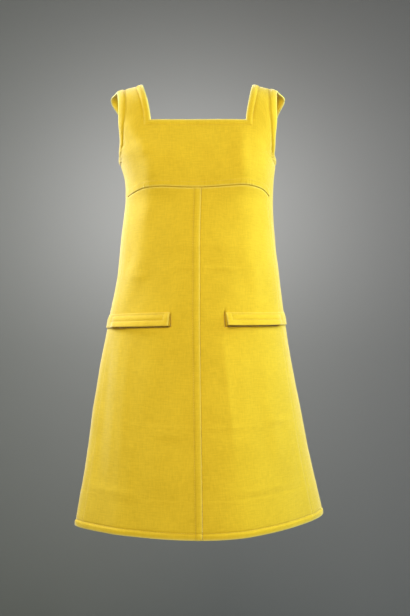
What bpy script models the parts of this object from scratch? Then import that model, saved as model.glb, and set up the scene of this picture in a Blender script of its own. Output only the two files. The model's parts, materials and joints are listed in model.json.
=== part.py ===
"""Sleeveless trapeze dress in heavy wool, in the hollow form that it keeps when it is worn.

It has a square neck, wide straps, a curved seam under the bust, a lapped seam down the centre
front, two pocket flaps and a zip in the centre back. Metres, +Z up. The front faces -Y, and the
origin lies between the shoulders, at the height where the straps are carried.
"""
from math import pi

import bmesh
import bpy
import numpy as np

# ---- Driving sizes ----------------------------------------------------------------------------
WALL = 0.002             # heavy wool, interlined
SEAM_GAP = 0.0003        # between two pieces that are sewn together
HEM = -0.825             # stations of the main levels, measured down from the shoulders
UNDERARM = -0.141
NECK_FRONT = -0.0725
NECK_BACK = -0.052
SHOULDER = 0.080         # station of the shoulder seam, past the top of the shoulder slope
BUST_POINT = 0.078       # from the centre line
BUST_LEVEL = -0.168
BUST_RISE = 0.008
BUST_SPREAD = 0.048
BUST_SIDE = 0.3          # cosine of the angle where the bust starts to fade towards the side seam
STRAP_MIDDLE = 0.132     # half the distance between the middles of the two straps
SHOULDER_FALL = 0.25     # slope of the shoulder line, a rise over a run
LAP_WIDTH = 0.0125       # from the fold of the centre-front lap to its topstitching
LAP_SLOPE = 0.004        # over which the lap comes down to the single cloth
LAP_RISE = 0.0011
FLAP_HEIGHT = 0.0250
FLAP_THICK = 0.0032      # two layers, turned and pressed
FLAP_GAP = 0.0006        # to the skirt along the top
FLAP_SPRING = 1.3        # above 1, the flap stands off more towards its lower edge
FLAP_CAUGHT = (1.0, 0.86)              # share of the way to the side where it comes down to the skirt
FLAP_END = (0.22, 0.0)                 # share of the same way where its free end stands off
FOLD_SPRING = 1.5        # above 1, the folds of the skirt grow faster towards the hem
FOLD_RADIUS = (0.14, 0.22)             # of the form, at the top of a fold and at the hem
ZIP_END = -0.52          # station of the zip's lower end
TAPE_WIDTH = 0.024
TAPE_THICK = 0.0006
TAPE_GAP = 0.0008        # behind the cloth
SLIT = 0.0029            # half width of the gap between the back halves around the zip's slider
SLIT_ENDS = (0.016, 0.007)             # below the slider, where the gap starts and is full
SLIDER = (0.0046, 0.0026, 0.0088)      # width, thickness and length
SLIDER_STATION = -0.066
SLIDER_PROUD = 0.0010    # of the cloth's outer face
BAIL_REACH = 0.0032      # from the pull's axis along the slider to the middle of a foot
BAIL_WIRE = 0.0012
PULL_AXIS = 0.00115      # above the slider's face
PULL = (0.0058, 0.0011, 0.0170)        # width, thickness and length below its axis
PULL_BAR = 0.0013        # the bar of the pull that turns under the bail
PULL_WINDOW = (0.0030, 0.0052)         # width, and reach below the axis
SLIDER_ROUNDING = 0.0007
PULL_ROUNDING = 0.00045
WINDOW_ROUNDING = 0.0003
SKIRT_ROWS = 27          # rows of points along a side seam, below and above the seam under the bust
YOKE_ROWS = 6
CHEST = (-0.138, -0.130, -0.115, -0.095)         # stations of the rows beside the armholes
BACK_STEPS = (-0.082, -0.073, -0.0625)           # further rows of the back, beside the slider
STRAP_TURN = (-0.40, UNDERARM)         # over which the back's columns swing in to its strap

# The form that the cloth takes, from the hem up and over to the top of the shoulder. A station is
# a length along the cloth, and equals the height below the bust. left and right are half widths
# from the centre line, front and back its depths, and left_side and right_side the depths of the
# widest points. turn above 1 makes the left side turn tighter. full_left, full_right and full_back
# above 0 make the two halves of the front and the back flatter across, and below 0 more pointed.
# fall is the share of the shoulders' slope. The last row is past the shoulder seam, where the
# front's line runs on down the back and the back's down the front.
FORM_COLUMNS = (
    "station", "height", "centre", "left", "right", "front", "back",
    "left_side", "right_side", "turn", "full_left", "full_right", "full_back", "fall",
)
FORM = np.array([
    (-0.825, -0.825, 0.008, 0.2362, 0.2345, -0.190, 0.150, -0.077, 0.032, 1.30, -0.30, -0.40, 0.00, 0.0),
    (-0.755, -0.755, 0.007, 0.2235, 0.2190, -0.183, 0.145, -0.068, 0.024, 1.25, -0.25, -0.34, 0.00, 0.0),
    (-0.679, -0.679, 0.006, 0.2118, 0.2030, -0.175, 0.139, -0.055, 0.017, 1.20, -0.19, -0.26, 0.00, 0.0),
    (-0.602, -0.602, 0.005, 0.2008, 0.1883, -0.166, 0.132, -0.042, 0.010, 1.15, -0.12, -0.17, 0.02, 0.0),
    (-0.525, -0.525, 0.004, 0.1895, 0.1738, -0.156, 0.126, -0.030, 0.005, 1.10, -0.05, -0.08, 0.05, 0.0),
    (-0.457, -0.457, 0.003, 0.1760, 0.1635, -0.147, 0.119, -0.020, 0.001, 1.05, 0.03, 0.00, 0.08, 0.0),
    (-0.370, -0.370, 0.003, 0.1590, 0.1522, -0.135, 0.109, -0.010, -0.002, 1.00, 0.11, 0.09, 0.12, 0.0),
    (-0.293, -0.293, 0.003, 0.1520, 0.1430, -0.125, 0.101, -0.005, -0.003, 1.00, 0.15, 0.15, 0.15, 0.0),
    (-0.213, -0.213, 0.005, 0.1455, 0.1372, -0.115, 0.098, -0.003, -0.003, 1.00, 0.22, 0.22, 0.20, 0.0),
    (-0.180, -0.180, 0.005, 0.1475, 0.1385, -0.115, 0.100, -0.002, -0.002, 1.00, 0.29, 0.29, 0.25, 0.0),
    (-0.160, -0.160, 0.005, 0.1528, 0.1408, -0.114, 0.102, -0.001, -0.001, 1.00, 0.34, 0.34, 0.28, 0.0),
    (-0.141, -0.141, 0.004, 0.1580, 0.1440, -0.110, 0.103, 0.000, 0.000, 1.00, 0.42, 0.42, 0.32, 0.0),
    (-0.115, -0.117, 0.003, 0.1630, 0.1545, -0.103, 0.101, 0.002, 0.002, 1.00, 0.50, 0.50, 0.38, 0.0),
    (-0.070, -0.076, 0.001, 0.1740, 0.1700, -0.089, 0.092, 0.006, 0.006, 1.00, 0.55, 0.55, 0.42, 0.0),
    (-0.030, -0.041, -0.001, 0.1830, 0.1790, -0.074, 0.080, 0.010, 0.010, 1.00, 0.55, 0.55, 0.42, 0.5),
    (0.010, -0.0145, -0.002, 0.1890, 0.1850, -0.045, 0.065, 0.015, 0.015, 1.00, 0.50, 0.50, 0.42, 0.9),
    (0.045, -0.003, -0.002, 0.1920, 0.1880, -0.012, 0.044, 0.018, 0.018, 1.00, 0.45, 0.45, 0.42, 1.0),
    (0.080, 0.000, -0.002, 0.1930, 0.1890, 0.020, 0.020, 0.020, 0.020, 1.00, 0.43, 0.43, 0.43, 1.0),
    (0.115, -0.003, -0.002, 0.1920, 0.1880, 0.044, -0.012, 0.018, 0.018, 1.00, 0.42, 0.42, 0.45, 1.0),
])

# Where the side seams run, as angles round the form: 0 is the centre front, -90 the left side, 90
# the right side and 180 the centre back.
SEAM_COLUMNS = ("station", "left", "right")
SIDE_SEAMS = np.array([
    (-0.825, -70.0, 63.0),
    (-0.680, -70.0, 63.0),
    (-0.540, -71.0, 66.0),
    (-0.457, -69.5, 67.5),
    (-0.370, -67.5, 69.5),
    (-0.293, -67.0, 69.0),
    (-0.216, -70.0, 66.5),
    (-0.175, -78.0, 75.0),
    (-0.141, -86.0, 85.0),
])

# The seam under the bust, as stations along the front.
YOKE_COLUMNS = ("angle", "station")
YOKE_SEAM = np.array([
    (-70.0, -0.2165),
    (-60.0, -0.2120),
    (-46.0, -0.2058),
    (-30.0, -0.2045),
    (-15.0, -0.2063),
    (0.0, -0.2068),
    (20.0, -0.2038),
    (37.0, -0.2010),
    (46.0, -0.2029),
    (56.0, -0.2068),
    (66.5, -0.2165),
])

# The open edges above the underarm, as distances from the centre line: the armholes, front and
# back, and the inner edges of the straps, which are the sides of the square neck.
EDGE_COLUMNS = ("station", "left_front", "right_front", "left_back", "right_back",
                "left_neck", "right_neck", "left_neck_back", "right_neck_back")
EDGES = np.array([
    (-0.141, 0.1576, 0.1434, 0.1576, 0.1434, 0.0870, 0.0860, 0.095, 0.092),
    (-0.138, 0.1545, 0.1430, 0.1560, 0.1432, 0.0870, 0.0860, 0.095, 0.092),
    (-0.130, 0.1500, 0.1422, 0.1520, 0.1424, 0.0870, 0.0860, 0.095, 0.092),
    (-0.115, 0.1465, 0.1418, 0.1480, 0.1420, 0.0870, 0.0860, 0.095, 0.092),
    (-0.095, 0.1455, 0.1415, 0.1460, 0.1425, 0.0870, 0.0860, 0.095, 0.092),
    (-0.070, 0.1472, 0.1425, 0.1480, 0.1465, 0.0880, 0.0868, 0.095, 0.092),
    (-0.030, 0.1500, 0.1448, 0.1600, 0.1575, 0.0955, 0.0935, 0.098, 0.096),
    (0.010, 0.1540, 0.1475, 0.1725, 0.1680, 0.1040, 0.1000, 0.103, 0.101),
    (0.045, 0.1585, 0.1515, 0.1735, 0.1690, 0.1075, 0.1035, 0.107, 0.103),
    (0.080, 0.1665, 0.1610, 0.1665, 0.1610, 0.1090, 0.1050, 0.109, 0.105),
])

# The pocket flaps: angles of their free inner end, of the side where they are caught down, and of
# their outer end, the stations of their top at both ends, how far the lower edge stands off the
# skirt along its length and at its inner end.
FLAP_COLUMNS = ("inner", "caught", "outer", "inner_top", "outer_top", "stand", "end_stand")
FLAPS = {
    "left": dict(zip(FLAP_COLUMNS, (-18.1, -70.0, -101.0, -0.4322, -0.4392, 0.0034, 0.0006))),
    "right": dict(zip(FLAP_COLUMNS, (17.2, 68.0, 98.0, -0.4322, -0.4325, 0.0036, 0.0036))),
}

# Soft vertical folds of the flared skirt: the angle at the hem and at the top of the fold, the
# station where it fades out, its width and its rise at the hem.
FOLD_COLUMNS = ("hem_angle", "top_angle", "top", "width", "rise")
FOLDS = [dict(zip(FOLD_COLUMNS, row)) for row in (
    (-40.0, -38.0, -0.47, 0.030, 0.0030),
    (18.0, 12.0, -0.46, 0.034, 0.0032),
    (128.0, 122.0, -0.40, 0.040, 0.0080),
    (160.0, 158.0, -0.48, 0.034, 0.0050),
    (-158.0, -160.0, -0.45, 0.036, 0.0060),
    (-124.0, -120.0, -0.40, 0.042, 0.0085),
)]


# ---- The form -----------------------------------------------------------------------------------
def column(table, names, name, key):
    """A column of a table, read at the keys through a smooth curve."""
    at = table[:, 0]
    value = table[:, names.index(name)]
    slope = np.gradient(value, at)
    key = np.clip(key, at[0], at[-1])
    low = np.clip(np.searchsorted(at, key, side="right") - 1, 0, len(at) - 2)
    span = at[low + 1] - at[low]
    t = (key - at[low]) / span
    first = (1 + 2 * t) * (1 - t) ** 2 * value[low] + t * (1 - t) ** 2 * span * slope[low]
    second = t * t * (3 - 2 * t) * value[low + 1] + t * t * (t - 1) * span * slope[low + 1]
    return first + second


def smooth(value, low, high):
    """0 below low, 1 above high, and a smooth rise between them."""
    t = np.clip((value - low) / (high - low), 0, 1)
    return t * t * (3 - 2 * t)


def section(angle, station):
    """Points of the form without its folds, at angles in degrees and stations."""
    angle, station = np.broadcast_arrays(np.asarray(angle, float), np.asarray(station, float))
    at = {name: column(FORM, FORM_COLUMNS, name, station) for name in FORM_COLUMNS[1:]}
    turn = np.radians(angle)
    across = np.sin(turn)
    ahead = np.cos(turn)
    on_left = across < 0
    reach = np.where(on_left, at["left"], at["right"])
    side = np.where(on_left, at["left_side"], at["right_side"])
    depth = np.where(ahead > 0, at["front"], at["back"])
    full = np.where(on_left, at["full_left"], at["full_right"])
    full = np.where(ahead > 0, full, at["full_back"])
    power = np.where(on_left, at["turn"], 1.0)
    x = at["centre"] + reach * across
    share = np.abs(ahead) ** power * (1 + full * across ** 2)
    y = side + (depth - side) * share
    fall = SHOULDER_FALL * at["fall"] * (np.abs(x) - STRAP_MIDDLE)
    bust = np.exp(-((np.abs(x - at["centre"]) - BUST_POINT) / BUST_SPREAD) ** 2)
    bust = bust * np.exp(-((station - BUST_LEVEL) / BUST_SPREAD) ** 2)
    y = y - BUST_RISE * bust * smooth(ahead, 0.0, BUST_SIDE)
    return np.stack([x, y, at["height"] - fall], axis=-1)


def outward(surface, angle, station):
    """Unit normals of a surface, pointing out of the dress."""
    turn, climb = 0.5, 0.002
    across = surface(angle + turn, station) - surface(angle - turn, station)
    level = np.maximum(station, HEM + climb)
    up = surface(angle, level + climb) - surface(angle, level - climb)
    normal = np.cross(across, up)
    return normal / np.linalg.norm(normal, axis=-1, keepdims=True)


def form(angle, station):
    """Points of the form with its folds: the outer face of every panel."""
    angle, station = np.broadcast_arrays(np.asarray(angle, float), np.asarray(station, float))
    rise = np.zeros(angle.shape)
    for fold in FOLDS:
        down = np.clip((station - fold["top"]) / (HEM - fold["top"]), 0, 1)
        middle = fold["top_angle"] + (fold["hem_angle"] - fold["top_angle"]) * down
        apart = np.radians((angle - middle + 180) % 360 - 180)
        radius = FOLD_RADIUS[0] + (FOLD_RADIUS[1] - FOLD_RADIUS[0]) * down
        crest = np.exp(-(apart * radius / fold["width"]) ** 2)
        rise = rise + fold["rise"] * down ** FOLD_SPRING * crest
    return section(angle, station) + outward(section, angle, station) * rise[..., None]


def edge_angle(name, station):
    """The angle at which an open edge runs, from its distance to the centre line."""
    side = name.split("_")[0]
    reach = column(FORM, FORM_COLUMNS, side, station)
    centre = column(FORM, FORM_COLUMNS, "centre", station)
    away = column(EDGES, EDGE_COLUMNS, name, station)
    sign = -1 if side == "left" else 1
    away = away - sign * centre
    angle = np.degrees(np.arcsin(np.clip(away / reach, -1, 1)))
    if name.endswith("_back"):
        angle = 180 - angle
    return sign * angle


def seam_angle(side, station):
    return column(SIDE_SEAMS, SEAM_COLUMNS, side, station)


def yoke_station(angle):
    return column(YOKE_SEAM, YOKE_COLUMNS, "station", angle)


# ---- Solids from grids of points ------------------------------------------------------------------
def fabric(name, colour, roughness, metallic=0.0):
    material = bpy.data.materials.new(name)
    material.use_nodes = True
    shader = material.node_tree.nodes["Principled BSDF"]
    shader.inputs["Base Color"].default_value = (*colour, 1.0)
    shader.inputs["Roughness"].default_value = roughness
    shader.inputs["Metallic"].default_value = metallic
    return material


def add_object(name, mesh, material, parent=None):
    thing = bpy.data.objects.new(name, mesh)
    bpy.context.collection.objects.link(thing)
    mesh.materials.append(material)
    mesh.shade_smooth()
    mesh.set_sharp_from_angle(angle=pi / 4)
    thing.parent = parent
    return thing


def solid(name, outer, inner, cells, material):
    """A closed wall between two grids of points, without the cells that are cut away."""
    rows, columns = outer.shape[:2]
    mesh = bmesh.new()
    used = np.zeros((rows, columns), bool)
    for row, place in np.argwhere(cells):
        used[row:row + 2, place:place + 2] = True
    grids = []
    for points in (outer, inner):
        grid = np.full((rows, columns), None, object)
        for row, place in np.argwhere(used):
            grid[row, place] = mesh.verts.new(points[row, place])
        grids.append(grid)
    face, lining = grids
    for row, place in np.argwhere(cells):
        ring = ((row, place), (row, place + 1), (row + 1, place + 1), (row + 1, place))
        mesh.faces.new([face[spot] for spot in ring])
        mesh.faces.new([lining[spot] for spot in reversed(ring)])
        beside = ((row - 1, place), (row, place + 1), (row + 1, place), (row, place - 1))
        for number, (next_row, next_place) in enumerate(beside):
            inside = 0 <= next_row < rows - 1 and 0 <= next_place < columns - 1
            if not (inside and cells[next_row, next_place]):
                start, end = ring[number], ring[(number + 1) % 4]
                mesh.faces.new((face[end], face[start], lining[start], lining[end]))
    data = bpy.data.meshes.new(name)
    mesh.to_mesh(data)
    mesh.free()
    return add_object(name, data, material)


def draw_in(points, gap):
    """Moves the border of a grid of points inwards, to leave a gap at its seams."""
    moved = points.copy()
    for edge, neighbour in ((0, 1), (-1, -2)):
        run = points[neighbour] - points[edge]
        moved[edge] += run / np.linalg.norm(run, axis=-1, keepdims=True) * gap
    for edge, neighbour in ((0, 1), (-1, -2)):
        run = moved[:, neighbour] - moved[:, edge]
        moved[:, edge] += run / np.linalg.norm(run, axis=-1, keepdims=True) * gap
    return moved


def panel(name, angle, station, material, cells=None, lift=0.0):
    """A wall of cloth on the form, at a grid of angles and stations."""
    if cells is None:
        cells = np.ones((angle.shape[0] - 1, angle.shape[1] - 1), bool)
    normal = outward(form, angle, station)
    face = form(angle, station) + normal * np.asarray(lift)[..., None]
    lining = form(angle, station) - normal * WALL
    return solid(name, draw_in(face, SEAM_GAP / 2), draw_in(lining, SEAM_GAP / 2), cells, material)


# ---- The pieces -----------------------------------------------------------------------------------
for thing in list(bpy.data.objects):
    bpy.data.objects.remove(thing, do_unlink=True)

yellow_wool = fabric("yellow_wool", (0.72, 0.50, 0.035), 0.85)
tape_cloth = fabric("yellow_tape", (0.66, 0.46, 0.05), 0.8)
zip_metal = fabric("zip_metal", (0.62, 0.60, 0.55), 0.35, 1.0)


def front_bodice():
    """The yoke and both front straps, from the seam under the bust to the shoulder seams."""
    strap_cells, neck_cells = 5, 12
    low = np.linspace(0, 1, YOKE_ROWS)
    chest = np.array([*CHEST, NECK_FRONT])
    strap = NECK_FRONT + (SHOULDER - NECK_FRONT) * np.linspace(0, 1, 11)[1:]
    level = np.concatenate([np.full(len(low), UNDERARM), chest, strap])
    rows = []
    for number, height in enumerate(level):
        if number < len(low):
            edge = [yoke_end(side)[1] * (1 - low[number]) + UNDERARM * low[number]
                    for side in ("left", "right")]
            left, right = seam_angle("left", edge[0]), seam_angle("right", edge[1])
        else:
            left, right = edge_angle("left_front", height), edge_angle("right_front", height)
        left_neck, right_neck = edge_angle("left_neck", height), edge_angle("right_neck", height)
        rows.append(np.concatenate([
            np.linspace(left, left_neck, strap_cells + 1),
            np.linspace(left_neck, right_neck, neck_cells + 1)[1:],
            np.linspace(right_neck, right, strap_cells + 1)[1:],
        ]))
    angle = np.array(rows)
    station = np.repeat(level[:, None], angle.shape[1], axis=1)
    for number, share in enumerate(low):
        station[number] = yoke_station(angle[number]) * (1 - share) + UNDERARM * share
    cells = np.ones((angle.shape[0] - 1, angle.shape[1] - 1), bool)
    cells[len(low) + len(chest) - 1:, strap_cells:strap_cells + neck_cells] = False
    return panel("front_bodice", angle, station, yellow_wool, cells)


def yoke_end(side):
    """The angle and station where the seam under the bust meets a side seam."""
    station = YOKE_SEAM[0 if side == "left" else -1, 1]
    for _ in range(12):
        angle = seam_angle(side, station)
        station = yoke_station(angle)
    return angle, station


def front_skirt(side, count=11):
    """Half of the front skirt, from the seam under the bust to the hem."""
    share = np.linspace(0, 1, SKIRT_ROWS)[:, None]
    corner_angle, corner_station = yoke_end(side)
    level = HEM + (corner_station - HEM) * share
    reach = column(FORM, FORM_COLUMNS, side, level)
    sign = -1 if side == "left" else 1
    lap = sign * np.degrees(LAP_WIDTH / reach)
    slope = sign * np.degrees((LAP_WIDTH + LAP_SLOPE) / reach)
    edge = seam_angle(side, level)
    run = np.linspace(0, 1, count)
    angle = np.hstack([edge + (slope - edge) * run, lap, 0 * lap])
    station = HEM + (yoke_station(angle[-1]) - HEM) * share
    lift = np.zeros(angle.shape)
    if side == "left":
        lift[:, -2:] = LAP_RISE
    if side == "right":
        angle, station = angle[:, ::-1], station[:, ::-1]
    return panel("front_skirt_" + side, angle, station, yellow_wool, lift=lift)


def back(side, strap_cells=6, neck_cells=9):
    """Half of the back, cut in one from the shoulder seam to the hem."""
    sign = -1 if side == "left" else 1
    yoke = yoke_end(side)[1]
    low = np.append(np.linspace(HEM, yoke, SKIRT_ROWS), np.linspace(yoke, UNDERARM, YOKE_ROWS)[1:])
    chest = np.array([*CHEST, *BACK_STEPS, NECK_BACK])
    strap = NECK_BACK + (SHOULDER - NECK_BACK) * np.linspace(0, 1, 9)[1:]
    level = np.concatenate([low, chest, strap])
    rows = []
    total = strap_cells + neck_cells
    for height in level:
        neck = edge_angle(side + "_neck_back", max(height, UNDERARM))
        if height <= UNDERARM:
            edge = seam_angle(side, height)
            even = edge + (sign * 180 - edge) * strap_cells / total
            neck = even + (neck - even) * smooth(height, *STRAP_TURN)
        else:
            edge = edge_angle(side + "_back", height)
        parted = SLIT * smooth(height, *(SLIDER_STATION - end for end in SLIT_ENDS))
        centre = 180 - np.degrees(parted / column(FORM, FORM_COLUMNS, side, height))
        rows.append(np.concatenate([
            np.linspace(edge, neck, strap_cells + 1),
            np.linspace(neck, sign * centre, neck_cells + 1)[1:],
        ]))
    angle = np.array(rows)
    station = np.repeat(level[:, None], total + 1, axis=1)
    cells = np.ones((len(level) - 1, total), bool)
    cells[len(low) + len(chest) - 1:, strap_cells:] = False
    if side == "left":
        angle, cells = angle[:, ::-1], cells[:, ::-1]
    return panel("back_" + side, angle, station, yellow_wool, cells)


def flap(side, count=17, rows=4):
    """A pocket flap laid over the skirt, caught down past the side and standing off before it."""
    at = FLAPS[side]
    along = np.linspace(0, 1, count)[None, :]
    down = np.linspace(0, 1, rows)[:, None]
    angle = at["inner"] + (at["outer"] - at["inner"]) * along + 0 * down
    top = at["inner_top"] + (at["outer_top"] - at["inner_top"]) * along
    station = top - FLAP_HEIGHT * down
    share = (angle - at["inner"]) / (at["caught"] - at["inner"])
    off = at["stand"] * smooth(share, *FLAP_CAUGHT) + at["end_stand"] * smooth(share, *FLAP_END)
    off = FLAP_GAP + off * down ** FLAP_SPRING
    if side == "left":
        angle, station, off = angle[:, ::-1], station[:, ::-1], off[:, ::-1]
    angle, station, off = angle[::-1], station[::-1], off[::-1]
    normal = outward(form, angle, station)
    inside = form(angle, station) + normal * off[..., None]
    outside = inside + normal * FLAP_THICK
    cells = np.ones((rows - 1, count - 1), bool)
    return solid("flap_" + side, outside, inside, cells, yellow_wool)


def zip_tape(rows=20):
    """The zip's tape, on the inside along the centre back."""
    station = np.linspace(ZIP_END, NECK_BACK - 0.003, rows)[:, None]
    half = np.degrees(TAPE_WIDTH / 2 / column(FORM, FORM_COLUMNS, "left", station))
    angle = 180 + half * np.linspace(-1, 1, 5)
    station = station + 0 * angle
    normal = outward(form, angle, station)
    outside = form(angle, station) - normal * (WALL + TAPE_GAP)
    inside = outside - normal * TAPE_THICK
    cells = np.ones((rows - 1, 4), bool)
    return solid("zip_tape", outside, inside, cells, tape_cloth)


# The zip's hard pieces are built flat, X across, Y outward and Z up along the cloth, with the
# pull's axis at their origin, and then set on the centre back.
def block(name, size, middle, bevel, material, segments=2):
    mesh = bmesh.new()
    bmesh.ops.create_cube(mesh, size=1.0)
    bmesh.ops.scale(mesh, vec=size, verts=mesh.verts)
    bmesh.ops.translate(mesh, vec=middle, verts=mesh.verts)
    bmesh.ops.bevel(mesh, geom=mesh.edges, offset=bevel, segments=segments, affect="EDGES")
    data = bpy.data.meshes.new(name)
    mesh.to_mesh(data)
    mesh.free()
    return add_object(name, data, material)


def bail(name, material, steps=12, sides=8):
    """A half ring of wire over the slider, from foot to foot."""
    turn = np.linspace(0, pi, steps + 1)
    rise = 2 * PULL_AXIS + BAIL_WIRE / 2
    middle = np.stack([0 * turn, rise * np.sin(turn) - PULL_AXIS, BAIL_REACH * np.cos(turn)], axis=-1)
    middle[[0, -1], 1] -= BAIL_WIRE / 2
    run = np.gradient(middle, axis=0)
    run = run / np.linalg.norm(run, axis=-1, keepdims=True)
    corners = np.linspace(0, 2 * pi, sides, endpoint=False)
    mesh = bmesh.new()
    rings = []
    for spot, along in zip(middle, run):
        across = np.array([1.0, 0.0, 0.0])
        up = np.cross(along, across)
        rings.append([mesh.verts.new(spot + BAIL_WIRE / 2 * (np.cos(a) * across + np.sin(a) * up))
                      for a in corners])
    for low, high in zip(rings, rings[1:]):
        for number in range(sides):
            after = (number + 1) % sides
            mesh.faces.new((low[number], low[after], high[after], high[number]))
    mesh.faces.new(rings[0][::-1])
    mesh.faces.new(rings[-1])
    bmesh.ops.recalc_face_normals(mesh, faces=mesh.faces)
    data = bpy.data.meshes.new(name)
    mesh.to_mesh(data)
    mesh.free()
    return add_object(name, data, material)


def guide(thing):
    thing.hide_render = True
    thing.display_type = "WIRE"
    return thing


def combine(thing, other, operation):
    change = thing.modifiers.new(other.name, "BOOLEAN")
    change.operation = operation
    change.object = guide(other)


def zip_fittings():
    """The slider with its bail, and the pull tab that hangs from it and turns about X."""
    station = np.array(SLIDER_STATION)
    normal = outward(form, np.array(180.0), station)
    seat = form(180.0, station) + normal * (SLIDER_PROUD + PULL_AXIS)
    mount = bpy.data.objects.new("zip_axis", None)
    bpy.context.collection.objects.link(mount)
    mount.location = seat
    mount.rotation_euler = (np.arctan2(normal[2], normal[1]), 0, 0)
    thick = SLIDER[1]
    slider = block("zip_slider", SLIDER, (0, -PULL_AXIS - thick / 2, 0), SLIDER_ROUNDING, zip_metal)
    combine(slider, bail("bail", zip_metal), "UNION")
    pull_width, pull_thick, pull_length = PULL
    top = PULL_BAR / 2
    pull = block("zip_pull", (pull_width, pull_thick, pull_length + top),
                 (0, 0, (top - pull_length) / 2), PULL_ROUNDING, zip_metal)
    window_width, window_reach = PULL_WINDOW
    window = block("window", (window_width, pull_thick * 3, window_reach - top),
                   (0, 0, -(window_reach + top) / 2), WINDOW_ROUNDING, zip_metal)
    combine(pull, window, "DIFFERENCE")
    for thing in (slider, pull, bpy.data.objects["bail"], window):
        thing.parent = mount


front_bodice()
for half in ("left", "right"):
    front_skirt(half)
    back(half)
    flap(half)
zip_tape()
zip_fittings()
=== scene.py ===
import json
from math import cos, pi, radians, sin

import bpy
import numpy as np
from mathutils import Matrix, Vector, noise
from mathutils.bvhtree import BVHTree

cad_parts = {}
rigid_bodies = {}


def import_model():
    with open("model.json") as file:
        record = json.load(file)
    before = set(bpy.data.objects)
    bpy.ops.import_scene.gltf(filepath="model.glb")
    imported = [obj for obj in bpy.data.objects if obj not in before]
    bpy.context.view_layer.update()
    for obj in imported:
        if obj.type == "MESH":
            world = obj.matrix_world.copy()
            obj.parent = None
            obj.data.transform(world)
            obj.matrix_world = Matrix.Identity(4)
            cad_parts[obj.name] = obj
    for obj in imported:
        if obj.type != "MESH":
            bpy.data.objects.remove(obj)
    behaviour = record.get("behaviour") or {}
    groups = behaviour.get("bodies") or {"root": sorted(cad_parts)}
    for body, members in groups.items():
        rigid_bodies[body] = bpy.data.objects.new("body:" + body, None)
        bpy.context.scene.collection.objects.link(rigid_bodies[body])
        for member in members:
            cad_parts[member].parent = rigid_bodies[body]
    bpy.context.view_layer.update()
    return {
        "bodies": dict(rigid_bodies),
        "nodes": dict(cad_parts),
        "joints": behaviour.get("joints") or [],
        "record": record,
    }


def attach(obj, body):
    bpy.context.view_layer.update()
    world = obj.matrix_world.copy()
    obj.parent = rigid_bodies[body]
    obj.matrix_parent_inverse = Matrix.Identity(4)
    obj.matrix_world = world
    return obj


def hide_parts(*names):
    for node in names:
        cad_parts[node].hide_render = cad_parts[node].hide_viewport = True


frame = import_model()


# ---- Studio -------------------------------------------------------------------------------------
# A pale floor sweeps up all round into a plain backdrop. A soft light stands close on each side, two
# weaker ones in front, two light the back and one the backdrop. The camera is level with the hips.
FLOOR = -2.3
FLOOR_REACH = 3.2
SWEEP = 1.6
WALL_TOP = 2.6
PAPER = (0.40, 0.40, 0.397, 1)
SKY = (0.75, 0.77, 0.80, 1)
SKY_STRENGTH = 0.03
FOCAL = 908 / 616        # of the camera, as a share of the picture's height
SENSOR = 36.0
CAMERA_PLACE = (0.0118, -1.75, -0.4245)
AIM = Vector((0.0, 0.0, -0.42))
LEFT_AIM = Vector((0.0, 0.0, 0.10))
BACKDROP_AIM = Vector((0.0, 6.0, 0.25))
LIGHTS = (
    # name, azimuth from the front, height, distance, width, length, watts, colour, aim
    ("light_left", -107, 0.45, 1.15, 0.6, 0.8, 34, (0.84, 0.98, 1.30), LEFT_AIM),
    ("light_right", 92, 0.25, 1.4, 0.6, 1.0, 32, (0.78, 1.0, 0.82), AIM),
    ("light_front", -2, 0.80, 2.1, 0.5, 0.3, 28, (1.0, 0.99, 0.86), AIM),
    ("light_low", 0, -0.25, 2.1, 1.2, 0.8, 18, (1.0, 1.0, 0.86), AIM),
    ("light_back_right", 152, 0.0, 2.2, 1.0, 1.6, 18, (1.0, 0.99, 0.97), AIM),
    ("light_back_left", -152, 0.0, 2.2, 1.0, 1.6, 20, (1.0, 0.99, 0.97), AIM),
    ("light_backdrop", 182, 0.30, 3.3, 0.5, 0.5, 22, (1.0, 0.99, 0.98), BACKDROP_AIM),
)


def new_mesh(name, points, faces):
    mesh = bpy.data.meshes.new(name)
    mesh.from_pydata(points, [], faces)
    return mesh


def put(name, data):
    """Adds an object to the scene."""
    thing = bpy.data.objects.new(name, data)
    bpy.context.scene.collection.objects.link(thing)
    return thing


def backdrop():
    turn = np.linspace(0, pi / 2, 13)[1:]
    reach = [FLOOR_REACH, *(FLOOR_REACH + SWEEP * np.sin(turn)), FLOOR_REACH + SWEEP]
    level = [FLOOR, *(FLOOR + SWEEP * (1 - np.cos(turn))), WALL_TOP]
    around = np.linspace(0, 2 * pi, 97)[:-1]
    count = len(around)
    points = [(0.0, 0.0, FLOOR)]
    points += [(r * cos(a), r * sin(a), z) for r, z in zip(reach, level) for a in around]
    faces = [(0, 1 + n, 1 + (n + 1) % count) for n in range(count)]
    for low in range(1, len(points) - count, count):
        for n in range(count):
            after = (n + 1) % count
            faces.append((low + n, low + count + n, low + count + after, low + after))
    mesh = new_mesh("floor", points, faces)
    mesh.shade_smooth()
    paper = bpy.data.materials.new("floor_paper")
    paper.use_nodes = True
    surface = paper.node_tree.nodes["Principled BSDF"]
    surface.inputs["Base Color"].default_value = PAPER
    surface.inputs["Roughness"].default_value = 0.9
    mesh.materials.append(paper)
    put("floor", mesh)


def soft_light(name, azimuth, height, distance, width, length, watts, colour, aim):
    data = bpy.data.lights.new(name, "AREA")
    data.shape = "RECTANGLE"
    data.size = width
    data.size_y = length
    data.energy = watts
    data.color = colour
    light = put(name, data)
    turn = radians(azimuth)
    light.location = (distance * sin(turn), -distance * cos(turn), height)
    light.rotation_euler = (aim - light.location).to_track_quat("-Z", "Y").to_euler()
    light.visible_camera = False


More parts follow.
